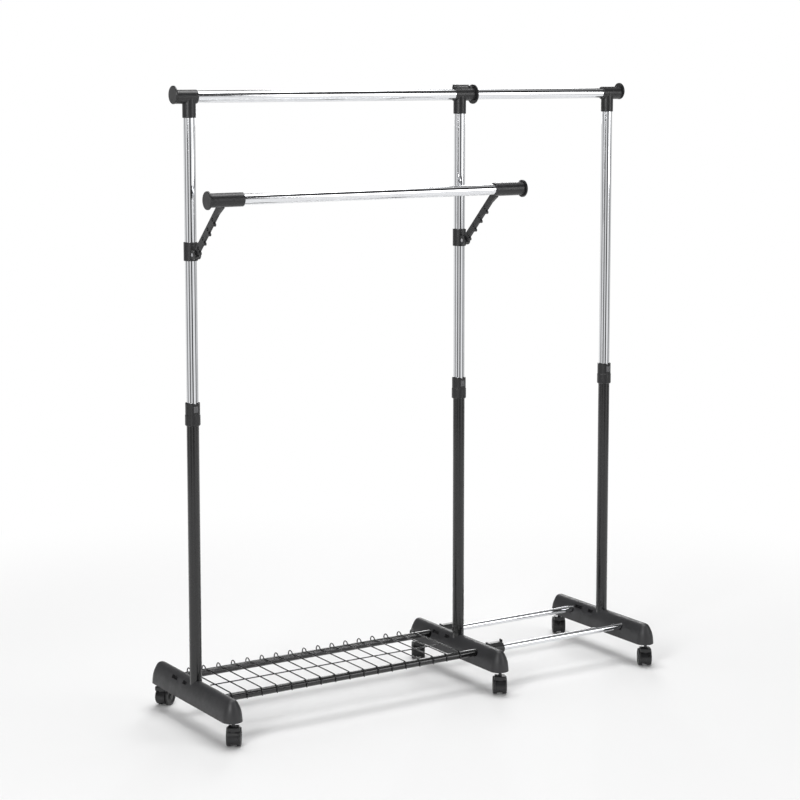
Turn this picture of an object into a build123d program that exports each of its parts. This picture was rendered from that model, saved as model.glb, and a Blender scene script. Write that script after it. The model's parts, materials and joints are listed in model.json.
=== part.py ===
from build123d import *
from math import cos, radians, sin
import os

os.makedirs("parts", exist_ok=True)

# Rolling clothes rack. X runs along the rails, -Y is the front with the folding hanging rail, +Z is up.
# The origin is on the floor, below the middle of the rack. All lengths are in millimetres.

# ---- Layout ----
HALF_SPAN = 603.5                      # outer posts, each side of the centre
LEFT_X = -HALF_SPAN
MIDDLE_X = LEFT_X + 746.0
RIGHT_X = HALF_SPAN
RAIL_Z = 1481.0                        # axis of the top rail
TUBE_Z = 93.0                          # axis of the tubes across the feet
TUBE_Y = 105.0                         # tubes, in front of and behind the posts
FIT = 0.1                              # radial clearance of every running fit

# ---- Tubes ----
LOWER_POST_OD = 29.0
UPPER_POST_OD = 27.2
POST_WALL = 0.8
TOP_RAIL_OD = 28.0
EXTENSION_RAIL_OD = 25.0
FRONT_RAIL_OD = 25.0
RAIL_WALL = 1.2
SHELF_TUBE_OD = 18.0
EXTENSION_TUBE_OD = 16.0
SHELF_TUBE_WALL = 0.9
OVERLAP = 60.0                         # what a telescoping tube keeps inside its outer tube

# ---- Feet ----
SOLE_Z = 62.0
RIDGE_Z = 114.0
FOOT_HALF_WIDTH = 24.5
NOSE_Y = 180.0                         # centre of the round nose
SEAM_Y = 62.0                          # where the rear half of a foot plugs in
FOOT_SIDE = ((24.5, 62.0), (23.5, 75.0), (21.2, 88.0), (15.6, 102.0), (0.0, 114.0))
FOOT_WALL_X = 18.0                     # side of the foot at the height of the tubes
POCKET = ((-20.0, 61.0), (-16.5, 80.0), (-10.5, 98.0), (10.5, 98.0), (16.5, 80.0), (20.0, 61.0))
FRONT_POCKETS = ((-156.0, -121.0), (-89.0, -22.0), (22.0, 63.0))
REAR_POCKETS = ((68.0, 89.0), (121.0, 156.0))
FRONT_WINDOW = (18.0, 38.0)
REAR_WINDOW = (66.0, 94.0)
RIM_OD = 21.0                          # shallow rim around a tube's hole
BUSH_RECESS_OD = 26.4                  # pocket for the tube clamp
BUSH_RECESS_X = 12.0

# ---- Casters ----
STEM_Y = 186.0
STEM_OD = 8.0
STEM_TOP_Z = 96.0
STEM_END_Z = 38.0
TRAIL = 18.0                           # the wheels run this far behind the stem
WHEEL_R = 22.0
WHEEL_IN = 6.6
WHEEL_OUT = 17.2
AXLE_OD = 5.0
HOOD_TOP_Z = 50.0
HOOD_LOW_Z = 9.0
FACING = -31.85                        # the hoods' heading, in degrees about Z
SIDEWAYS = -57.0

# ---- Wire shelf ----
WIRE = 3.0
WIRE_PITCH = 40.0
WIRE_COUNT = 17
FIRST_WIRE_X = LEFT_X + 36.0
WIRE_Z = TUBE_Z + SHELF_TUBE_OD / 2 + WIRE / 2 + 0.2
WELD = 0.4                             # how far two welded wires sink into each other
LONG_WIRE_Y = (88.0, 80.0, -20.0)

# ---- Height adjustment ----
LOWER_POST_TOP = 750.0
UPPER_POST_END = 648.0
COLLAR_LOW_Z = 721.0
COLLAR_STEP_Z = 747.0
COLLAR_TOP_Z = 775.0
COLLAR_LOW_OD = 36.0
COLLAR_TOP_OD = 34.4
BUTTON_Z = 760.5
BUTTON_SIZE = (10.6, 3.0, 14.6)        # width, thickness, height
BUTTON_Y = -16.7

# ---- Tees on top of the posts ----
TEE_OD = 32.0
TEE_SOCKET_OD = 31.2
TEE_SHORT = 18.0
TEE_LONG = 38.0
TEE_BOTTOM_Z = 1433.0
POST_TOP_Z = RAIL_Z - TOP_RAIL_OD / 2 - 0.5
DISC_OD = 42.0
DISC_THICK = 4.0
DISC_RAISE = RAIL_Z + 4.4
FLANGE_OD = 48.0

# ---- Folding hanging rail ----
ARM_COLLAR_Z = 1127.0
ARM_COLLAR_HEIGHT = 43.0
ARM_COLLAR_OD = 33.0
PIVOT_Y = -25.0
PIVOT_Z = 1121.0
PIN_OD = 5.0
FRONT_RAIL_Y = -163.0
FRONT_RAIL_Z = 1254.0
ARM_THICK = 7.0
ARM_WIDTH = 16.0
CHEEK_GAP = 4.2                        # half the space between the fork's cheeks
CHEEK_THICK = 4.3
CHEEK_R = 11.0
STOP_X = 3.0                           # the stop that an arm rests on, along and across the arm
STOP_Y = 10.0
STOP_SIZE = (8.0, 3.2)
SOCKET_OD = 32.0
FRONT_DISC_OD = 42.0
HOOK_PLACES = (25.0, 59.0, 92.0, 126.0)
HOLE_OD = 9.0


def save(piece, label):
    """Name a finished piece and write it as a STEP file."""
    piece.label = label
    export_step(piece, f"parts/{label}.step")


def level(x, y, z):
    """A horizontal plane at a point."""
    return Plane(origin=(x, y, z))


def across(x, y, z):
    """A plane that faces along the rails (+X), with Y to the right and Z up."""
    return Plane(origin=(x, y, z), x_dir=(0, 1, 0), z_dir=(1, 0, 0))


def facing_front(x, y, z):
    """A plane that faces the front (-Y), with X to the right and Z up."""
    return Plane(origin=(x, y, z), x_dir=(1, 0, 0), z_dir=(0, -1, 0))


def tube(plane, outer, wall, length):
    """A round tube along the plane's normal."""
    with BuildPart() as pipe:
        with BuildSketch(plane):
            Circle(outer / 2)
            Circle(outer / 2 - wall, mode=Mode.SUBTRACT)
        extrude(amount=length)
    return pipe.part


# ---------------------------------------------------------------- feet
# The section of a foot: flat sole, sides leaning in to a round ridge.
with BuildSketch() as foot_section:
    with BuildLine():
        side = Spline(*FOOT_SIDE, tangents=((-0.06, 1.0), (-1.0, 0.0)))
        mirror(side, about=Plane.YZ)
        Line((-FOOT_HALF_WIDTH, SOLE_Z), (FOOT_HALF_WIDTH, SOLE_Z))
    make_face()

# One half of that section, closed along its middle, for the round noses.
with BuildSketch() as half_section:
    with BuildLine():
        Spline(*FOOT_SIDE, tangents=((-0.06, 1.0), (-1.0, 0.0)))
        Polyline((0, RIDGE_Z), (0, SOLE_Z), (FOOT_HALF_WIDTH, SOLE_Z))
    make_face()


def foot_blank(x, y_low, y_high, nose_y):
    """A straight stretch of foot from y_low to y_high with a round nose at one end."""
    with BuildPart() as blank:
        with BuildSketch(facing_front(x, y_high, 0)):
            add(foot_section.sketch)
        extrude(amount=y_high - y_low)
        with BuildSketch(facing_front(x, nose_y, 0)):
            add(half_section.sketch)
        revolve(axis=Axis((x, nose_y, 0), (0, 0, 1)))
    return blank.part


def foot_pockets(x, spans):
    """The hollows moulded into a foot from below, between its walls and its solid blocks."""
    with BuildPart() as hollows:
        for low, high in spans:
            with BuildSketch(facing_front(x, high, 0)):
                Polygon(*POCKET, align=None)
            extrude(amount=high - low)
    return hollows.part


def snap_window(x, span):
    """The space of a snap window, high on the left side of a foot."""
    with BuildPart() as window:
        with Locations(Location((x - 14.6, sum(span) / 2, 101.5), (0, -52, 0))):
            Box(8.5, span[1] - span[0], 12)
    return window.part


def tube_holes(x, y, tube_od, right_end, left_end, right_rim):
    """The hole of one tube across a foot, with a wider rim where it comes out."""
    with BuildPart() as holes:
        with BuildSketch(across(x + left_end, y, TUBE_Z)):
            Circle(tube_od / 2)
        extrude(amount=right_end - left_end)
        if right_rim:
            rim_od, rim_x = right_rim
            with BuildSketch(across(x + rim_x, y, TUBE_Z)):
                Circle(rim_od / 2)
            extrude(amount=FOOT_HALF_WIDTH)
        if left_end < -FOOT_HALF_WIDTH:
            with BuildSketch(across(x - FOOT_WALL_X, y, TUBE_Z)):
                Circle(RIM_OD / 2)
            extrude(amount=-FOOT_HALF_WIDTH)
    return holes.part


def upright_hole(x, y, diameter, low_z, high_z):
    """The space of an upright round hole."""
    with BuildPart() as hole:
        with BuildSketch(level(x, y, low_z)):
            Circle(diameter / 2)
        extrude(amount=high_z - low_z)
    return hole.part


def foot_front(x, tube_hole):
    """The longer half of a foot: it holds the post, the front tube and the front caster."""
    hollows = foot_pockets(x, FRONT_POCKETS)
    window = snap_window(x, FRONT_WINDOW)
    post_hole = upright_hole(x, 0, LOWER_POST_OD, SOLE_Z + 2, RIDGE_Z + 1)
    stem_hole = upright_hole(x, -STEM_Y, STEM_OD, SOLE_Z, STEM_TOP_Z)
    holes = tube_holes(x, -TUBE_Y, *tube_hole)
    with BuildPart() as foot:
        add(foot_blank(x, -NOSE_Y, SEAM_Y, -NOSE_Y))
        add([hollows, window, post_hole, stem_hole, holes], mode=Mode.SUBTRACT)
    return foot.part


def foot_rear(x, tube_hole):
    """The rear half of a foot, with a tongue that plugs into the front half."""
    tongue = ((-15.5, 64.0), (-9.5, 97.0), (9.5, 97.0), (15.5, 64.0))
    hollows = foot_pockets(x, REAR_POCKETS)
    window = snap_window(x, REAR_WINDOW)
    stem_hole = upright_hole(x, STEM_Y, STEM_OD, SOLE_Z, STEM_TOP_Z)
    holes = tube_holes(x, TUBE_Y, *tube_hole)
    with BuildPart() as foot:
        add(foot_blank(x, SEAM_Y + 0.4, NOSE_Y, NOSE_Y))
        with BuildSketch(facing_front(x, SEAM_Y + 1, 0)):
            Polygon(*tongue, align=None)
        extrude(amount=36)
        add([hollows, window, stem_hole, holes], mode=Mode.SUBTRACT)
    return foot.part


BEYOND = 40.0                          # clear of the foot's side
BLIND = 9.0                            # how far past the middle a tube reaches into an end foot
PLAIN_RIM = (RIM_OD, FOOT_WALL_X)
CLAMP_RIM = (BUSH_RECESS_OD, BUSH_RECESS_X)
FEET = (
    ("left_foot", LEFT_X, (SHELF_TUBE_OD, BEYOND, -BLIND, PLAIN_RIM)),
    ("middle_foot", MIDDLE_X, (SHELF_TUBE_OD, BEYOND, -BEYOND, CLAMP_RIM)),
    ("right_foot", RIGHT_X, (EXTENSION_TUBE_OD, BLIND, -BEYOND, None)),
)

for foot_name, foot_x, tube_hole in FEET:
    save(foot_front(foot_x, tube_hole), f"{foot_name}_front")
    save(foot_rear(foot_x, tube_hole), f"{foot_name}_rear")


# ---------------------------------------------------------------- posts
POSTS = (("left", LEFT_X), ("middle", MIDDLE_X), ("right", RIGHT_X))

for side, post_x in POSTS:
    foot_level = level(post_x, 0, SOLE_Z + 2)
    save(tube(foot_level, LOWER_POST_OD, POST_WALL, LOWER_POST_TOP - SOLE_Z - 2), f"{side}_lower_post")
    end_level = level(post_x, 0, UPPER_POST_END)
    save(tube(end_level, UPPER_POST_OD, POST_WALL, POST_TOP_Z - UPPER_POST_END), f"{side}_upper_post")


# ---------------------------------------------------------------- tubes across the feet
CLAMP_END = 64.0                       # right end of a clamp, from the middle post
CLAMP_STEP = 46.0                      # where the black tube ends inside the clamp

for place, tube_y in (("front", -TUBE_Y), ("rear", TUBE_Y)):
    shelf_start = across(LEFT_X - BLIND, tube_y, TUBE_Z)
    shelf_length = MIDDLE_X + CLAMP_STEP - LEFT_X + BLIND
    save(tube(shelf_start, SHELF_TUBE_OD, SHELF_TUBE_WALL, shelf_length), f"{place}_shelf_tube")
    inner_start = across(MIDDLE_X - OVERLAP, tube_y, TUBE_Z)
    inner_length = RIGHT_X + BLIND - MIDDLE_X + OVERLAP
    save(tube(inner_start, EXTENSION_TUBE_OD, RAIL_WALL, inner_length), f"{place}_extension_tube")


# ---------------------------------------------------------------- wire shelf
LOOP_R = 10.0                          # the standing loops over the rear tube
LOOP_Y = TUBE_Y + 2.0
LOOP_RISE = 24.0                       # where a wire meets its loop, in degrees above level
LOOP_Z = WIRE_Z - LOOP_R * sin(radians(LOOP_RISE))
WIRE_OVERHANG = 8.0                    # long wires past the first and last cross wire

with BuildPart() as cross_wire:
    loop_start_y = LOOP_Y - LOOP_R * cos(radians(LOOP_RISE))
    with BuildSketch(facing_front(0, loop_start_y, WIRE_Z)):
        Circle(WIRE / 2)
    extrude(amount=loop_start_y + TUBE_Y)
    with BuildSketch(facing_front(0, -TUBE_Y, WIRE_Z)):
        Circle(WIRE / 2)
    revolve(axis=Axis((0, -TUBE_Y, TUBE_Z), (1, 0, 0)), revolution_arc=130)
    with BuildSketch(facing_front(0, LOOP_Y, LOOP_Z + LOOP_R)):
        Circle(WIRE / 2)
    revolve(axis=Axis((0, LOOP_Y, LOOP_Z), (1, 0, 0)), revolution_arc=67)
    with BuildSketch(facing_front(0, LOOP_Y, LOOP_Z + LOOP_R)):
        Circle(WIRE / 2)
    revolve(axis=Axis((0, LOOP_Y, LOOP_Z), (-1, 0, 0)), revolution_arc=118)

wire_places = [(FIRST_WIRE_X + index * WIRE_PITCH, 0, 0) for index in range(WIRE_COUNT)]
long_wire_length = (WIRE_COUNT - 1) * WIRE_PITCH + 2 * WIRE_OVERHANG

with BuildPart() as wire_shelf:
    with Locations(*wire_places):
        add(cross_wire.part)
    for wire_y in LONG_WIRE_Y:
        with BuildSketch(across(FIRST_WIRE_X - WIRE_OVERHANG, wire_y, WIRE_Z - WIRE + WELD)):
            Circle(WIRE / 2)
        extrude(amount=long_wire_length)
save(wire_shelf.part, "wire_shelf")


# ---------------------------------------------------------------- lock levers
LEVER_PIN_OD = 3.0
LEVER_WIDTH = 12.0
LEVER_EAR = 2.2
LEVER_TAB = 2.6


def lever_ears(pin_x, y, pin_z, base_z):
    """Two ears that hold a lever's cross pin, standing on base_z."""
    with BuildPart() as ears:
        for ear_side in (-1, 1):
            ear_y = y + ear_side * (LEVER_WIDTH / 2 + 0.4 + LEVER_EAR / 2)
            with Locations((pin_x, ear_y, (pin_z + 2.4 + base_z) / 2)):
                Box(5, LEVER_EAR, pin_z + 2.4 - base_z)
        with BuildSketch(facing_front(pin_x, y, pin_z)):
            Circle(LEVER_PIN_OD / 2 + FIT)
        extrude(amount=LEVER_WIDTH, both=True, mode=Mode.SUBTRACT)
    return ears.part


def lock_lever(pin_x, end_x, y, low_z, thickness, tab_rise):
    """A flat lever with a round heel on a cross pin, and an upturned finger tab at its right end."""
    pin_z = low_z + thickness / 2
    with BuildPart() as lever:
        with BuildSketch(facing_front(pin_x, y - LEVER_WIDTH / 2, pin_z)):
            Circle(thickness / 2)
            with Locations(((end_x - pin_x) / 2, 0)):
                Rectangle(end_x - pin_x, thickness)
            if tab_rise:
                with Locations((end_x - pin_x - LEVER_TAB / 2, tab_rise / 2)):
                    Rectangle(LEVER_TAB, thickness + tab_rise)
        extrude(amount=-LEVER_WIDTH)
        chamfer(lever.faces().sort_by(Axis.X)[-1].edges().filter_by(Axis.Z), 1.6)
        with BuildSketch(facing_front(pin_x, y, pin_z)):
            Circle(LEVER_PIN_OD / 2)
        extrude(amount=LEVER_WIDTH / 2 + 0.4 + LEVER_EAR, both=True)
    return lever.part


# ---------------------------------------------------------------- tube clamps
CLAMP_OD = 26.0
CLAMP_TOP_Z = TUBE_Z + 13.6
CLAMP_LEVER_Z = CLAMP_TOP_Z + 0.4
CLAMP_LEVER_THICK = 3.0
CLAMP_TAB_RISE = 5.0
CLAMP_PIN_X = MIDDLE_X + 20.5
CLAMP_BODY_X = MIDDLE_X + 18.0


def tube_clamp(y):
    """The sleeve that joins a black shelf tube to the chrome tube inside it."""
    ears = lever_ears(CLAMP_PIN_X, y, CLAMP_LEVER_Z + CLAMP_LEVER_THICK / 2, CLAMP_TOP_Z - 4)
    with BuildPart() as clamp:
        with BuildSketch(across(MIDDLE_X + BUSH_RECESS_X, y, TUBE_Z)):
            Circle(CLAMP_OD / 2)
        extrude(amount=CLAMP_END - BUSH_RECESS_X)
        chamfer(clamp.faces().sort_by(Axis.X)[-1].edges(), 1.5)
        with Locations(((CLAMP_BODY_X + MIDDLE_X + CLAMP_END - 2) / 2, y, (TUBE_Z + CLAMP_TOP_Z) / 2 + 3)):
            Box(CLAMP_END - 2 - (CLAMP_BODY_X - MIDDLE_X), LEVER_WIDTH + 3, CLAMP_TOP_Z - TUBE_Z - 6)
        add(ears)
        with BuildSketch(across(MIDDLE_X, y, TUBE_Z)):
            Circle(SHELF_TUBE_OD / 2)
        extrude(amount=CLAMP_STEP, mode=Mode.SUBTRACT)
        with BuildSketch(across(MIDDLE_X, y, TUBE_Z)):
            Circle(EXTENSION_TUBE_OD / 2 + FIT)
        extrude(amount=CLAMP_END, mode=Mode.SUBTRACT)
    return clamp.part


for place, tube_y in (("front", -TUBE_Y), ("rear", TUBE_Y)):
    save(tube_clamp(tube_y), f"{place}_tube_clamp")
    clamp_lever = lock_lever(CLAMP_PIN_X, MIDDLE_X + CLAMP_END - 3, tube_y,
                             CLAMP_LEVER_Z, CLAMP_LEVER_THICK, CLAMP_TAB_RISE)
    save(clamp_lever, f"{place}_clamp_lever")


# ---------------------------------------------------------------- height collars
NOTCH_DEEP = 4.0


def height_collar(x):
    """The sleeve on top of a lower post, with a window for its push button."""
    with BuildPart() as collar:
        with BuildSketch(level(x, 0, COLLAR_LOW_Z)):
            Circle(COLLAR_LOW_OD / 2)
        extrude(amount=COLLAR_STEP_Z - COLLAR_LOW_Z)
        chamfer(collar.edges().group_by(Axis.Z)[0], 2.0)
        chamfer(collar.edges().group_by(Axis.Z)[-1], 0.7)
        with BuildSketch(level(x, 0, COLLAR_STEP_Z)):
            Circle(COLLAR_TOP_OD / 2)
        extrude(amount=COLLAR_TOP_Z - COLLAR_STEP_Z)
        fillet(collar.edges().group_by(Axis.Z)[-1], 1.0)
        with BuildSketch(level(x, 0, COLLAR_LOW_Z)):
            Circle(LOWER_POST_OD / 2)
        extrude(amount=LOWER_POST_TOP - COLLAR_LOW_Z, mode=Mode.SUBTRACT)
        with BuildSketch(level(x, 0, COLLAR_LOW_Z)):
            Circle(UPPER_POST_OD / 2 + FIT)
        extrude(amount=COLLAR_TOP_Z - COLLAR_LOW_Z, mode=Mode.SUBTRACT)
        with Locations((x, BUTTON_Y, BUTTON_Z)):
            Box(BUTTON_SIZE[0] + 0.7, 9, BUTTON_SIZE[2] + 0.7, mode=Mode.SUBTRACT)
        with Locations((x, BUTTON_Y, COLLAR_TOP_Z)):
            Box(BUTTON_SIZE[0], 9, NOTCH_DEEP, mode=Mode.SUBTRACT)
    return collar.part


def height_button(x):
    """A push button with rounded edges and a finger dimple."""
    with BuildPart() as button:
        with Locations((x, BUTTON_Y, BUTTON_Z)):
            Box(*BUTTON_SIZE)
        fillet(button.faces().sort_by(Axis.Y)[0].edges(), 0.9)
        with BuildSketch(facing_front(x, BUTTON_Y - BUTTON_SIZE[1] / 2 + 0.5, BUTTON_Z - 2)):
            SlotOverall(6, 2.4)
        extrude(amount=2, mode=Mode.SUBTRACT)
    return button.part


for side, post_x in POSTS:
    save(height_collar(post_x), f"{side}_height_collar")
    save(height_button(post_x), f"{side}_height_button")


# ---------------------------------------------------------------- rails and tees
LEFT_RAIL_START = LEFT_X - TEE_LONG + 2
TOP_RAIL_END = MIDDLE_X + TEE_LONG - 1
RIGHT_RAIL_END = RIGHT_X + TEE_LONG - 2

top_rail = tube(across(LEFT_RAIL_START, 0, RAIL_Z), TOP_RAIL_OD,
                (TOP_RAIL_OD - EXTENSION_RAIL_OD) / 2 - FIT, TOP_RAIL_END - LEFT_RAIL_START)
save(top_rail, "top_rail")
extension_rail = tube(across(MIDDLE_X - OVERLAP, 0, RAIL_Z), EXTENSION_RAIL_OD, RAIL_WALL,
                      RIGHT_RAIL_END - MIDDLE_X + OVERLAP)
save(extension_rail, "extension_rail")


def tee_body(x, outward):
    """A short barrel along the rail on top of an upright socket; the long arm points outward."""
    with BuildPart() as body:
        with BuildSketch(across(x - outward * TEE_SHORT, 0, RAIL_Z)):
            Circle(TEE_OD / 2)
        extrude(amount=outward * (TEE_SHORT + TEE_LONG))
        with BuildSketch(level(x, 0, TEE_BOTTOM_Z)):
            Circle(TEE_SOCKET_OD / 2)
        extrude(amount=RAIL_Z - TEE_BOTTOM_Z)
        chamfer(body.edges().group_by(Axis.Z)[0], 1.0)
    return body.part


def end_tee(x, outward, rail_od):
    """A tee at an end of the rack: its barrel is closed by a disc that stops the hangers."""
    body = tee_body(x, outward)
    post_bore = upright_hole(x, 0, UPPER_POST_OD, TEE_BOTTOM_Z, POST_TOP_Z)
    with BuildPart() as tee:
        add(body)
        with BuildSketch(across(x + outward * TEE_LONG, 0, DISC_RAISE)):
            Circle(DISC_OD / 2)
        extrude(amount=outward * DISC_THICK)
        rim = tee.faces().filter_by(Axis.X).sort_by(Axis.X)[0 if outward < 0 else -1]
        chamfer(rim.edges(), 1.2)
        with BuildSketch(across(x - outward * TEE_SHORT, 0, RAIL_Z)):
            Circle(rail_od / 2)
        extrude(amount=outward * (TEE_SHORT + TEE_LONG - 2), mode=Mode.SUBTRACT)
        add(post_bore, mode=Mode.SUBTRACT)
    return tee.part


save(end_tee(LEFT_X, -1, TOP_RAIL_OD), "left_tee")
save(end_tee(RIGHT_X, 1, EXTENSION_RAIL_OD), "right_tee")

RAIL_LEVER_Z = RAIL_Z + 19.5
RAIL_LEVER_THICK = 4.0
RAIL_PIN_X = MIDDLE_X - 13.0
SADDLE_TOP_Z = RAIL_LEVER_Z - 0.4
SADDLE_LENGTH = 38.0

middle_body = tee_body(MIDDLE_X, 1)
middle_ears = lever_ears(RAIL_PIN_X, 0, RAIL_LEVER_Z + RAIL_LEVER_THICK / 2, SADDLE_TOP_Z - 4)
middle_bore = upright_hole(MIDDLE_X, 0, UPPER_POST_OD, TEE_BOTTOM_Z, POST_TOP_Z)

with BuildPart() as middle_tee:
    add(middle_body)
    with BuildSketch(across(MIDDLE_X + TEE_LONG, 0, RAIL_Z)):
        Circle(FLANGE_OD / 2)
    extrude(amount=DISC_THICK)
    flange_face = middle_tee.faces().filter_by(Axis.X).sort_by(Axis.X)[-1]
    chamfer(flange_face.edges(), 1.0)
    with Locations((MIDDLE_X - TEE_SHORT + 0.6 + SADDLE_LENGTH / 2, 0, (RAIL_Z + 6 + SADDLE_TOP_Z) / 2)):
        Box(SADDLE_LENGTH, LEVER_WIDTH + 3, SADDLE_TOP_Z - RAIL_Z - 6)
    add(middle_ears)
    with BuildSketch(across(MIDDLE_X - TEE_SHORT, 0, RAIL_Z)):
        Circle(TOP_RAIL_OD / 2)
    extrude(amount=TEE_SHORT + TEE_LONG - 1, mode=Mode.SUBTRACT)
    with BuildSketch(across(TOP_RAIL_END - 1, 0, RAIL_Z)):
        Circle(EXTENSION_RAIL_OD / 2 + FIT)
    extrude(amount=FLANGE_OD, mode=Mode.SUBTRACT)
    add(middle_bore, mode=Mode.SUBTRACT)
save(middle_tee.part, "middle_tee")
rail_lock_lever = lock_lever(RAIL_PIN_X, MIDDLE_X + 24, 0, RAIL_LEVER_Z, RAIL_LEVER_THICK, 0)
save(rail_lock_lever, "rail_lock_lever")


# ---------------------------------------------------------------- folding hanging rail
ARM_RUN = FRONT_RAIL_Y - PIVOT_Y
ARM_RISE = FRONT_RAIL_Z - PIVOT_Z
ARM_LENGTH = (ARM_RUN ** 2 + ARM_RISE ** 2) ** 0.5
SLOT_FRONT_Y = -15.3                   # the collar is flattened between its cheeks
HOOK_REACH = 6.6
HOOK_R = 4.0


def arm_plane(x):
    """A plane facing along the rails whose X runs up the arm and whose Y points to its front edge."""
    return Plane(origin=(x, PIVOT_Y, PIVOT_Z), x_dir=(0, ARM_RUN, ARM_RISE), z_dir=(1, 0, 0))


def arm_collar(x):
    """The sleeve on an upper post that carries the arm between two round cheeks."""
    with BuildPart() as collar:
        with BuildSketch(level(x, 0, ARM_COLLAR_Z - ARM_COLLAR_HEIGHT / 2)):
            Circle(ARM_COLLAR_OD / 2)
        extrude(amount=ARM_COLLAR_HEIGHT)
        chamfer(collar.edges().filter_by(GeomType.CIRCLE), 0.8)
        for cheek_side in (-1, 1):
            with BuildSketch(across(x + cheek_side * CHEEK_GAP, 0, 0)):
                with Locations((PIVOT_Y, PIVOT_Z)):
                    Circle(CHEEK_R)
                with Locations((PIVOT_Y / 2, PIVOT_Z)):
                    Rectangle(-PIVOT_Y, 2 * CHEEK_R)
            extrude(amount=cheek_side * CHEEK_THICK)
        with Locations((x, SLOT_FRONT_Y - 5, ARM_COLLAR_Z)):
            Box(2 * CHEEK_GAP, 10, ARM_COLLAR_HEIGHT + 2, mode=Mode.SUBTRACT)
        with BuildSketch(arm_plane(x - CHEEK_GAP)):
            with Locations((STOP_X, STOP_Y)):
                Rectangle(*STOP_SIZE)
        extrude(amount=2 * CHEEK_GAP)
        with BuildSketch(level(x, 0, ARM_COLLAR_Z - ARM_COLLAR_HEIGHT / 2)):
            Circle(UPPER_POST_OD / 2)
        extrude(amount=ARM_COLLAR_HEIGHT, mode=Mode.SUBTRACT)
        with BuildSketch(across(x, PIVOT_Y, PIVOT_Z)):
            Circle(PIN_OD / 2)
        extrude(amount=ARM_COLLAR_OD, both=True, mode=Mode.SUBTRACT)
    return collar.part


def hanger_arm(x, socket_start, socket_end):
    """An arm with four hooks, moulded with the socket of the front rail; the disc closes one end."""
    inward = 1 if socket_end > socket_start else -1
    with BuildPart() as arm:
        with BuildSketch(arm_plane(x - ARM_THICK / 2)):
            reach = ARM_LENGTH - SOCKET_OD / 2 + 3
            with Locations((reach / 2, 0)):
                Rectangle(reach, ARM_WIDTH)
            Circle(ARM_WIDTH / 2)
            Polygon((reach - 30, 7.5), (reach + 1, 7.5), (reach + 1, 13), align=None)
            for place in HOOK_PLACES:
                with Locations((place - 7.5, ARM_WIDTH / 2 + HOOK_REACH - HOOK_R)):
                    Circle(HOOK_R)
                with Locations((place - 7.5, ARM_WIDTH / 2)):
                    Rectangle(2 * HOOK_R, 4)
            for place in HOOK_PLACES:
                with Locations((place, 1.2)):
                    Circle(HOLE_OD / 2, mode=Mode.SUBTRACT)
            Circle(PIN_OD / 2 + FIT, mode=Mode.SUBTRACT)
        extrude(amount=ARM_THICK)
        with BuildSketch(across(x + socket_start, FRONT_RAIL_Y, FRONT_RAIL_Z)):
            Circle(SOCKET_OD / 2)
        extrude(amount=socket_end - socket_start)
        with BuildSketch(across(x + socket_start, FRONT_RAIL_Y, FRONT_RAIL_Z)):
            Circle(FRONT_DISC_OD / 2)
        extrude(amount=inward * DISC_THICK)
        disc_face = arm.faces().filter_by(Axis.X).sort_by(Axis.X)[0 if inward > 0 else -1]
        fillet(disc_face.edges(), 1.4)
        with BuildSketch(across(x + socket_start + inward * DISC_THICK, FRONT_RAIL_Y, FRONT_RAIL_Z)):
            Circle(FRONT_RAIL_OD / 2)
        extrude(amount=socket_end - socket_start - inward * DISC_THICK, mode=Mode.SUBTRACT)
    return arm.part


LEFT_SOCKET = (-42.0, 48.0)            # from the disc's outer face to the open end
RIGHT_SOCKET = (77.0, -10.0)

save(hanger_arm(LEFT_X, *LEFT_SOCKET), "left_hanger_arm")
save(hanger_arm(MIDDLE_X, *RIGHT_SOCKET), "right_hanger_arm")
front_rail_start = LEFT_X + LEFT_SOCKET[0] + DISC_THICK
front_rail_end = MIDDLE_X + RIGHT_SOCKET[0] - DISC_THICK
front_rail = tube(across(front_rail_start, FRONT_RAIL_Y, FRONT_RAIL_Z), FRONT_RAIL_OD, RAIL_WALL,
                  front_rail_end - front_rail_start)
save(front_rail, "front_rail")

with BuildPart() as arm_pins:
    for pin_x in (LEFT_X, MIDDLE_X):
        half = CHEEK_GAP + CHEEK_THICK
        with BuildSketch(across(pin_x - half, PIVOT_Y, PIVOT_Z)):
            Circle(PIN_OD / 2)
        extrude(amount=2 * half)
        for head_side in (-1, 1):
            with BuildSketch(across(pin_x + head_side * half, PIVOT_Y, PIVOT_Z)):
                Circle(PIN_OD / 2 + 1.6)
            extrude(amount=head_side * 1.2)

for side, post_x in POSTS[:2]:
    save(arm_collar(post_x), f"{side}_arm_collar")
save(arm_pins.part, "arm_pins")


# ---------------------------------------------------------------- casters
FENDER_IN = WHEEL_R + 1.0
FENDER_OUT = WHEEL_R + 4.0
FENDER_HALF = 12.0
WEB_HALF = 5.6
BOSS_OD = 12.4
CAP_HALF = 14.0
CAP_LOW_Z = 44.5
CAP_FRONT = -9.0
CAP_REAR = 9.0


def caster_plane(x, y, heading, z=0.0):
    """The caster's own level plane at its stem, with X along the axle and Y towards the wheels."""
    turn = radians(heading)
    return Plane(origin=(x, y, z), x_dir=(cos(turn), sin(turn), 0), z_dir=(0, 0, 1))


def caster_side(x, y, heading, offset=0.0):
    """A plane that faces along the axle, with X towards the wheels and Y up, on the wheels' axle."""
    ground = caster_plane(x, y, heading)
    axle = ground.origin + ground.y_dir * TRAIL + Vector(0, 0, WHEEL_R) + ground.x_dir * offset
    return Plane(origin=axle, x_dir=ground.y_dir, z_dir=ground.x_dir)


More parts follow.
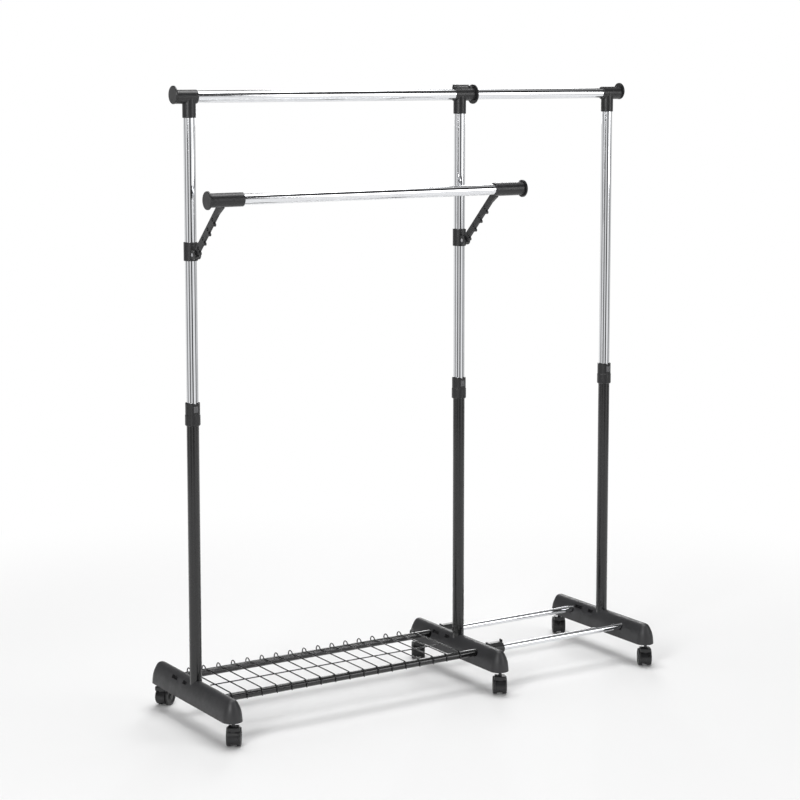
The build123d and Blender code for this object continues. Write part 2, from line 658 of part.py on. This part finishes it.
def caster_hood(x, y, heading):
    """The swivelling body: a web between the wheels, a fender over them and a boss for the stem."""
    with BuildPart() as hood:
        with BuildSketch(caster_side(x, y, heading)):
            Circle(FENDER_OUT)
            with Locations((FENDER_OUT, -5)):
                Rectangle(FENDER_OUT, 2 * FENDER_OUT + 20, rotation=-28, mode=Mode.SUBTRACT)
            with Locations((0, HOOD_LOW_Z - WHEEL_R - FENDER_OUT)):
                Rectangle(4 * FENDER_OUT, 2 * FENDER_OUT, mode=Mode.SUBTRACT)
            Circle(AXLE_OD + 2)
        extrude(amount=FENDER_HALF, both=True)
        with BuildSketch(caster_plane(x, y, heading, CAP_LOW_Z - 4)):
            with Locations((0, (CAP_FRONT + CAP_REAR) / 2)):
                RectangleRounded(2 * CAP_HALF, CAP_REAR - CAP_FRONT, 3)
        extrude(amount=HOOD_TOP_Z - CAP_LOW_Z + 4)
        chamfer(hood.edges().group_by(Axis.Z)[-1], 1.2)
        for wheel_side in (-1, 1):
            with BuildSketch(caster_side(x, y, heading, wheel_side * WEB_HALF)):
                Circle(FENDER_IN)
            extrude(amount=wheel_side * 2 * FENDER_HALF, mode=Mode.SUBTRACT)
        with BuildSketch(caster_plane(x, y, heading, CAP_LOW_Z - 7)):
            Circle(BOSS_OD / 2)
        extrude(amount=HOOD_TOP_Z - CAP_LOW_Z + 7)
        with BuildSketch(caster_plane(x, y, heading, STEM_END_Z - 0.3)):
            Circle(STEM_OD / 2 + FIT)
        extrude(amount=HOOD_TOP_Z, mode=Mode.SUBTRACT)
        with BuildSketch(caster_side(x, y, heading)):
            Circle(AXLE_OD / 2)
        extrude(amount=FENDER_HALF, both=True, mode=Mode.SUBTRACT)
    return hood.part


def caster_wheels(x, y, heading):
    """The pair of wheels, each with a rounded tread and a dished outer face."""
    with BuildPart() as wheels:
        for wheel_side in (-1, 1):
            with BuildSketch(caster_side(x, y, heading, wheel_side * WHEEL_IN)):
                Circle(WHEEL_R)
            extrude(amount=wheel_side * (WHEEL_OUT - WHEEL_IN))
        fillet(wheels.edges().filter_by(GeomType.CIRCLE), 2.2)
        for wheel_side in (-1, 1):
            with BuildSketch(caster_side(x, y, heading, wheel_side * WHEEL_OUT)):
                Circle(WHEEL_R - 6)
                Circle(WHEEL_R - 15, mode=Mode.SUBTRACT)
            extrude(amount=-wheel_side * 1.6, mode=Mode.SUBTRACT)
        with BuildSketch(caster_side(x, y, heading)):
            Circle(AXLE_OD / 2 + FIT)
        extrude(amount=WHEEL_OUT + 1, both=True, mode=Mode.SUBTRACT)
    return wheels.part


def caster_axle(x, y, heading):
    """The steel axle, pressed into the hood's web."""
    with BuildPart() as axle:
        with BuildSketch(caster_side(x, y, heading)):
            Circle(AXLE_OD / 2)
        extrude(amount=WHEEL_OUT - 0.4, both=True)
    return axle.part


def caster_stems(places):
    """The steel stems that stay in the feet, each with a shoulder under the sole."""
    with BuildPart() as stems:
        with Locations(*[(x, y, (STEM_TOP_Z + STEM_END_Z) / 2) for x, y in places]):
            Cylinder(STEM_OD / 2, STEM_TOP_Z - STEM_END_Z)
        with Locations(*[(x, y, SOLE_Z - 1.5) for x, y in places]):
            Cylinder(STEM_OD / 2 + 2, 3)
    return stems.part


CASTERS = (
    ("left_front", LEFT_X, -STEM_Y, FACING),
    ("left_rear", LEFT_X, STEM_Y, SIDEWAYS),
    ("middle_front", MIDDLE_X, -STEM_Y, FACING),
    ("middle_rear", MIDDLE_X, STEM_Y, FACING),
    ("right_front", RIGHT_X, -STEM_Y, FACING),
    ("right_rear", RIGHT_X, STEM_Y, FACING),
)

for corner, stem_x, stem_y, heading in CASTERS:
    save(caster_hood(stem_x, stem_y, heading), f"{corner}_hood")
    save(caster_axle(stem_x, stem_y, heading), f"{corner}_axle")
    save(caster_wheels(stem_x, stem_y, heading), f"{corner}_wheels")

save(caster_stems([(x, y) for _, x, y, _ in CASTERS[:4]]), "base_caster_stems")
save(caster_stems([(x, y) for _, x, y, _ in CASTERS[4:]]), "right_caster_stems")
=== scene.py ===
import json
import math
import bmesh
import bpy
from mathutils import Matrix, Vector


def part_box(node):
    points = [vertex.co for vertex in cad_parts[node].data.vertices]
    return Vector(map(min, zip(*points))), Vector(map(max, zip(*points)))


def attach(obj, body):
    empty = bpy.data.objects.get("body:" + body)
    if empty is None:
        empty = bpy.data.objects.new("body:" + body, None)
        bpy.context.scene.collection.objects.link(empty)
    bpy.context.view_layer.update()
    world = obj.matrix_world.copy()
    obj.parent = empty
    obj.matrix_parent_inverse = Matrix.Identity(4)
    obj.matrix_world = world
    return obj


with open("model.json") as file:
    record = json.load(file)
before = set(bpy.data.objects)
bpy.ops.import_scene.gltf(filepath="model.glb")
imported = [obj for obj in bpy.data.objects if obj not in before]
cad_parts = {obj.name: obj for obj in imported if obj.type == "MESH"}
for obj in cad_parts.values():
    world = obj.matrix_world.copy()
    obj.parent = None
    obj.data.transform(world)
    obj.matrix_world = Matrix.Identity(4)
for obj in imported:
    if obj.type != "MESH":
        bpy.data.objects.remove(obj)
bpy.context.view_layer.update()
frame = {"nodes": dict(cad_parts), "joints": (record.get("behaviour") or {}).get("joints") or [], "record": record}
record = frame["record"]
nodes = frame["nodes"]
body_of_node = {n: b for b, names in record["behaviour"]["bodies"].items() for n in names}


# ---- materials: every finish is a small node tree on object coordinates ----
def finish_material(name, color, rough, rough_spread=0.08, metallic=0.0, bump=0.0, bump_scale=900.0,
                    tint=0.18, tint_scale=14.0, coat=0.0, coat_rough=0.1, specular=0.5):
    mat = bpy.data.materials.new(name)
    mat.use_nodes = True
    tree = mat.node_tree
    shader = tree.nodes["Principled BSDF"]
    shader.inputs["Metallic"].default_value = metallic
    shader.inputs["Specular IOR Level"].default_value = specular
    shader.inputs["Coat Weight"].default_value = coat
    shader.inputs["Coat Roughness"].default_value = coat_rough
    coords = tree.nodes.new("ShaderNodeTexCoord")

    def noise(scale, detail):
        node = tree.nodes.new("ShaderNodeTexNoise")
        node.inputs["Scale"].default_value = scale
        node.inputs["Detail"].default_value = detail
        tree.links.new(coords.outputs["Object"], node.inputs["Vector"])
        return node

    def spread(source, low, high):
        node = tree.nodes.new("ShaderNodeMapRange")
        node.inputs["From Min"].default_value = 0.3
        node.inputs["From Max"].default_value = 0.7
        node.inputs["To Min"].default_value = low
        node.inputs["To Max"].default_value = high
        tree.links.new(source.outputs["Fac"], node.inputs["Value"])
        return node

    broad = noise(tint_scale, 3.0)
    ramp = tree.nodes.new("ShaderNodeValToRGB")
    dark = [c * (1 - tint) for c in color]
    light = [min(c * (1 + tint), 1.0) for c in color]
    ramp.color_ramp.elements[0].position = 0.3
    ramp.color_ramp.elements[0].color = (*dark, 1)
    ramp.color_ramp.elements[1].position = 0.7
    ramp.color_ramp.elements[1].color = (*light, 1)
    tree.links.new(broad.outputs["Fac"], ramp.inputs["Fac"])
    tree.links.new(ramp.outputs["Color"], shader.inputs["Base Color"])
    worn = spread(noise(tint_scale * 5, 4.0), rough - rough_spread / 2, rough + rough_spread / 2)
    tree.links.new(worn.outputs["Result"], shader.inputs["Roughness"])
    if bump:
        relief = tree.nodes.new("ShaderNodeBump")
        relief.inputs["Strength"].default_value = bump
        relief.inputs["Distance"].default_value = 0.0004
        tree.links.new(noise(bump_scale, 2.0).outputs["Fac"], relief.inputs["Height"])
        tree.links.new(relief.outputs["Normal"], shader.inputs["Normal"])
    return mat


FOOT = finish_material("foot plastic", (0.032, 0.032, 0.034), 0.47, 0.12, bump=0.28, bump_scale=1100)
FITTING = finish_material("fitting plastic", (0.016, 0.016, 0.017), 0.37, 0.1, bump=0.1, bump_scale=1300)
GREY = finish_material("button plastic", (0.11, 0.11, 0.115), 0.42, 0.1, bump=0.1, bump_scale=1300)
BLACK = finish_material("black tube", (0.003, 0.003, 0.0035), 0.25, 0.08, bump=0.04, bump_scale=350, coat=0.4)
WIRE = finish_material("black wire", (0.006, 0.006, 0.007), 0.22, 0.1, bump=0.06, bump_scale=500, coat=0.5)
CHROME = finish_material("chrome", (0.80, 0.81, 0.83), 0.075, 0.03, metallic=1.0, tint=0.03)
STEEL = finish_material("zinc steel", (0.55, 0.55, 0.57), 0.3, 0.12, metallic=1.0, tint=0.08, bump=0.05)
STEM = finish_material("dark stem steel", (0.05, 0.05, 0.052), 0.35, 0.12, metallic=1.0, tint=0.08, bump=0.05)
HOOD = finish_material("hood plastic", (0.012, 0.012, 0.013), 0.3, 0.1, bump=0.05, bump_scale=900)
WHEEL = finish_material("wheel plastic", (0.03, 0.03, 0.031), 0.42, 0.12, bump=0.12, bump_scale=1200)
HUB = finish_material("hub plastic", (0.022, 0.022, 0.023), 0.3, 0.1, bump=0.05, bump_scale=900)

SLOT_LOOKS = {
    "charcoal_plastic": FITTING, "button_plastic": GREY, "black_painted_steel": BLACK, "black_wire": WIRE,
    "chrome": CHROME, "caster_plastic": HOOD, "wheel_plastic": WHEEL, "steel": STEEL,
}
for part in record["subparts"]:
    mesh = nodes[part["node"]].data
    look = SLOT_LOOKS[part["material_slot"]]
    if "_foot_" in part["node"]:
        look = FOOT
    elif part["node"].endswith("_stems"):
        look = STEM
    mesh.materials.clear()
    mesh.materials.append(look)


# ---- pieces in mesh code ----
def piece(name, bm, look, body):
    mesh = bpy.data.meshes.new(name)
    bmesh.ops.recalc_face_normals(bm, faces=bm.faces)
    bm.to_mesh(mesh)
    bm.free()
    mesh.materials.append(look)
    mesh.shade_smooth()
    mesh.set_sharp_from_angle(angle=math.radians(35))
    obj = bpy.data.objects.new(name, mesh)
    bpy.context.collection.objects.link(obj)
    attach(obj, body)
    return obj


def lathe(bm, profile, place, steps=48):
    """Turns (radius, height) points about the local Z of a placing matrix."""
    rings = []
    for radius, height in profile:
        if radius == 0:
            rings.append([bm.verts.new(place @ Vector((0, 0, height)))])
            continue
        turn = [2 * math.pi * i / steps for i in range(steps)]
        rings.append([bm.verts.new(place @ Vector((radius * math.cos(t), radius * math.sin(t), height)))
                      for t in turn])
    for low, high in zip(rings, rings[1:]):
        for i in range(steps):
            j = (i + 1) % steps
            quad = [low[i % len(low)], low[j % len(low)], high[j % len(high)], high[i % len(high)]]
            corners = list(dict.fromkeys(quad))
            if len(corners) > 2:
                bm.faces.new(corners)


# Hub caps and a raised ring in the dished outer faces of the wheels: (radius, height) from the outer face.
HUB_FACE = 0.0172
HUB_CAP = [(0.0071, -0.0014), (0.0071, -0.0002), (0.0066, 0.0002), (0.0030, 0.0005), (0, 0.0005)]
HUB_RING = [(0.0098, -0.0015), (0.0102, -0.0007), (0.0108, -0.0007), (0.0112, -0.0015)]
for joint in frame["joints"]:
    name = joint["name"]
    if not name.endswith("_wheel_roll"):
        continue
    centre = Vector(joint["pos_m"])
    axle = Vector(joint["axis"]).normalized()
    caps = bmesh.new()
    for side in (-1, 1):
        out = axle * side
        across = Vector((0, 0, 1))
        place = Matrix.Translation(centre + out * HUB_FACE)
        place = place @ Matrix((across, out.cross(across), out)).transposed().to_4x4()
        lathe(caps, HUB_CAP, place)
        lathe(caps, HUB_RING, place)
    piece(name.replace("_wheel_roll", "_hub_caps"), caps, HUB, joint["child"])

# The catch block on the middle tee, between the lever and the flange.
BLOCK_GAP = 0.0035                     # from the lever's end
BLOCK_INTO_FLANGE = 0.0025             # short of the flange's outer face
BLOCK_WIDTH, BLOCK_HEIGHT = 0.014, 0.010
BLOCK_DROP = 0.0032                    # below the flange's top
tee_high = Vector(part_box("middle_tee")[1])
block_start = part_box("rail_lock_lever")[1][0] + BLOCK_GAP
size = Vector((tee_high.x - BLOCK_INTO_FLANGE - block_start, BLOCK_WIDTH, BLOCK_HEIGHT))
centre = Vector((block_start + size.x / 2, 0, tee_high.z - BLOCK_DROP - size.z / 2))
block = bmesh.new()
bmesh.ops.create_cube(block, size=1.0, matrix=Matrix.Translation(centre) @ Matrix.Diagonal((*size, 1)))
bmesh.ops.bevel(block, geom=block.edges[:], offset=0.0012, segments=3, affect="EDGES")
piece("tee_catch_block", block, FITTING, body_of_node["middle_tee"])

# ---- floor ----
# The floor fades to plain white towards its edge.
FLOOR_REACH = 3.4
floor_mesh = bpy.data.meshes.new("floor")
disc = bmesh.new()
bmesh.ops.create_circle(disc, cap_ends=True, radius=FLOOR_REACH, segments=96)
disc.to_mesh(floor_mesh)
disc.free()
floor_look = finish_material("floor", (0.88, 0.88, 0.88), 0.8, 0.02, tint=0.004, tint_scale=0.4, specular=0.1)
floor_mesh.materials.append(floor_look)
tree = floor_look.node_tree
coords = tree.nodes.new("ShaderNodeTexCoord")
length = tree.nodes.new("ShaderNodeVectorMath")
length.operation = "LENGTH"
fade = tree.nodes.new("ShaderNodeMapRange")
fade.interpolation_type = "SMOOTHSTEP"
fade.inputs["From Min"].default_value = 0.9
fade.inputs["From Max"].default_value = 2.2
white = tree.nodes.new("ShaderNodeEmission")
white.inputs["Color"].default_value = (1, 1, 1, 1)
mix = tree.nodes.new("ShaderNodeMixShader")
tree.links.new(coords.outputs["Object"], length.inputs[0])
tree.links.new(length.outputs["Value"], fade.inputs["Value"])
tree.links.new(fade.outputs["Result"], mix.inputs["Fac"])
tree.links.new(tree.nodes["Principled BSDF"].outputs["BSDF"], mix.inputs[1])
tree.links.new(white.outputs["Emission"], mix.inputs[2])
tree.links.new(mix.outputs["Shader"], tree.nodes["Material Output"].inputs["Surface"])
floor = bpy.data.objects.new("floor", floor_mesh)
bpy.context.collection.objects.link(floor)


# ---- light ----
def softbox(name, place, target, size, power):
    data = bpy.data.lights.new(name, "AREA")
    data.shape = "RECTANGLE"
    data.size, data.size_y = size
    data.energy = power
    lamp = bpy.data.objects.new(name, data)
    lamp.location = place
    lamp.rotation_euler = (Vector(target) - Vector(place)).to_track_quat("-Z", "Y").to_euler()
    bpy.context.collection.objects.link(lamp)


middle = Vector((0, 0, 0.8))
# name, place, target, size, power
softbox("key", (-4.2, -2.6, 2.6), middle, (1.6, 2.6), 120)
softbox("fill", (3.2, -4.6, 2.2), middle, (1.8, 2.6), 60)
softbox("top", (0.2, 0.4, 4.6), (0, 0, 0), (3.4, 2.4), 130)
softbox("rim", (2.6, 3.6, 2.4), middle, (1.4, 2.4), 60)

# White to the eye; in reflections the studio's darker corners show as bands.
world = bpy.data.worlds.new("studio")
world.use_nodes = True
tree = world.node_tree
tree.nodes.clear()
place = tree.nodes.new("ShaderNodeTexCoord")
parts = tree.nodes.new("ShaderNodeSeparateXYZ")
angle = tree.nodes.new("ShaderNodeMath")
angle.operation = "ARCTAN2"
wrap = tree.nodes.new("ShaderNodeMapRange")
wrap.inputs["From Min"].default_value = -math.pi
wrap.inputs["From Max"].default_value = math.pi
bands = tree.nodes.new("ShaderNodeValToRGB")


def grey_ramp(node, steps):
    ramp = node.color_ramp
    while len(ramp.elements) < len(steps):
        ramp.elements.new(steps[len(ramp.elements)][0])
    for element, (where, value) in zip(ramp.elements, steps):
        element.position = where
        element.color = (value, value, value, 1)


grey_ramp(bands, [(0.0, 0.9), (0.03, 0.9), (0.05, 0.10), (0.09, 0.10), (0.11, 0.7), (0.17, 0.9), (0.19, 0.04),
                  (0.24, 0.04), (0.26, 1.0), (0.36, 0.9), (0.38, 0.08), (0.42, 0.08), (0.44, 0.8), (0.56, 0.5),
                  (0.62, 0.9), (0.64, 0.06), (0.70, 0.06), (0.72, 0.9), (0.86, 0.9), (0.88, 0.3), (0.94, 0.3),
                  (0.96, 0.9)])
walls = tree.nodes.new("ShaderNodeValToRGB")
grey_ramp(walls, [(0.51, 1.0), (0.54, 0.08), (0.86, 0.12), (0.93, 1.0)])
lift = tree.nodes.new("ShaderNodeMapRange")
lift.inputs["From Min"].default_value = -1.0
lift.inputs["From Max"].default_value = 1.0
shade = tree.nodes.new("ShaderNodeMixRGB")
shade.blend_type = "MULTIPLY"
shade.inputs["Fac"].default_value = 1.0
seen = tree.nodes.new("ShaderNodeBackground")
seen.inputs["Color"].default_value = (1, 1, 1, 1)
seen.inputs["Strength"].default_value = 1.0
felt = tree.nodes.new("ShaderNodeBackground")
felt.inputs["Strength"].default_value = 0.95
ray = tree.nodes.new("ShaderNodeLightPath")
mix = tree.nodes.new("ShaderNodeMixShader")
out = tree.nodes.new("ShaderNodeOutputWorld")
link = tree.links.new
link(place.outputs["Generated"], parts.inputs["Vector"])
link(parts.outputs["Y"], angle.inputs[0])
link(parts.outputs["X"], angle.inputs[1])
link(angle.outputs["Value"], wrap.inputs["Value"])
link(wrap.outputs["Result"], bands.inputs["Fac"])
link(parts.outputs["Z"], lift.inputs["Value"])
link(lift.outputs["Result"], walls.inputs["Fac"])
link(bands.outputs["Color"], shade.inputs["Color1"])
link(walls.outputs["Color"], shade.inputs["Color2"])
link(shade.outputs["Color"], felt.inputs["Color"])
link(ray.outputs["Is Camera Ray"], mix.inputs["Fac"])
link(felt.outputs["Background"], mix.inputs[1])
link(seen.outputs["Background"], mix.inputs[2])
link(mix.outputs["Shader"], out.inputs["Surface"])
bpy.context.scene.world = world
bpy.context.scene.view_settings.view_transform = "Standard"

# ---- camera: its place, pitch and heading look at the rack as the reference view does ----
PITCH, HEADING = 6.7, -32.630
lens = bpy.data.cameras.new("camera")
lens.lens = 93.894
lens.sensor_width = 36.0
lens.shift_x = -0.0061
lens.shift_y = -0.11306
lens.clip_end = 200
camera = bpy.data.objects.new("camera", lens)
camera.location = (-2.7676, -4.29357, 1.55416)
camera.rotation_euler = (math.radians(90 - PITCH), 0, math.radians(HEADING))
bpy.context.collection.objects.link(camera)
bpy.context.scene.camera = camera
